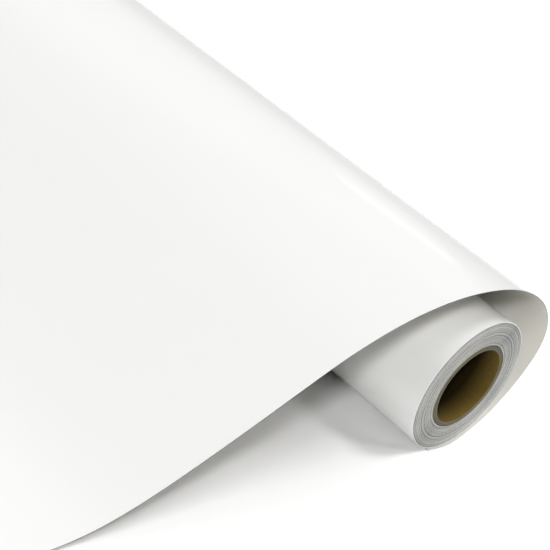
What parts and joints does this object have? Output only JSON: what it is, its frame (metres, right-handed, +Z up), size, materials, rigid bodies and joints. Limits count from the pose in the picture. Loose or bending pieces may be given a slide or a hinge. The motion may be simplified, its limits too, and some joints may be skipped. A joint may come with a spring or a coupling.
{
  "type": "roll of sign vinyl",
  "caption": "White gloss film on a paper liner, wound on a paperboard core, with its loose end looped over the roll and run out flat on the table.",
  "frame": {"origin": "on the table, under the roll's axis, at the middle of the roll's width: the centre of the flat strip of film that the roll rests on", "axes": "+Y along the roll's axis, +Z up, and the loose end runs out to -X"},
  "size_m": [0.392, 0.305, 0.0856],
  "materials": {
    "film": "gloss",
    "liner": "matte",
    "pack": "matte",
    "tape": "matte",
    "core_bore": "matte",
    "core_ply": "matte",
    "core_skin": "matte"
  },
  "bodies": {
    "loose_web": {"film_run": "film", "liner_run": "liner"},
    "roll": {"core_inner_ply": "core_bore", "core_second_ply": "core_ply", "core_third_ply": "core_ply", "core_outer_ply": "core_skin", "starter_tape": "tape", "wound_pack": "pack", "liner_outer_turn": "liner", "film_outer_turn": "film"},
    "lead": {"liner_lead": "liner", "film_lead": "film"},
    "peel_end": {"film_end": "film"}
  },
  "joints": [
    {"name": "roll_turn", "type": "hinge", "parent": "loose_web", "child": "roll", "pos_m": [0, 0, 0.03408], "axis": [0, -1, 0], "range_deg": [0, 136]},
    {"name": "lead_feed", "type": "slide", "parent": "loose_web", "child": "lead", "axis": [-1, 0, 0], "range_m": [0, 0.08]},
    {"name": "film_peel", "type": "hinge", "parent": "lead", "child": "peel_end", "pos_m": [-0.28616, 0, 0.00019], "axis": [0, 1, 0], "range_deg": [0, 110]}
  ],
  "couplings": [
    {"joint": "lead_feed", "follows": "roll_turn", "m_per_rad": 0.0335}
  ]
}
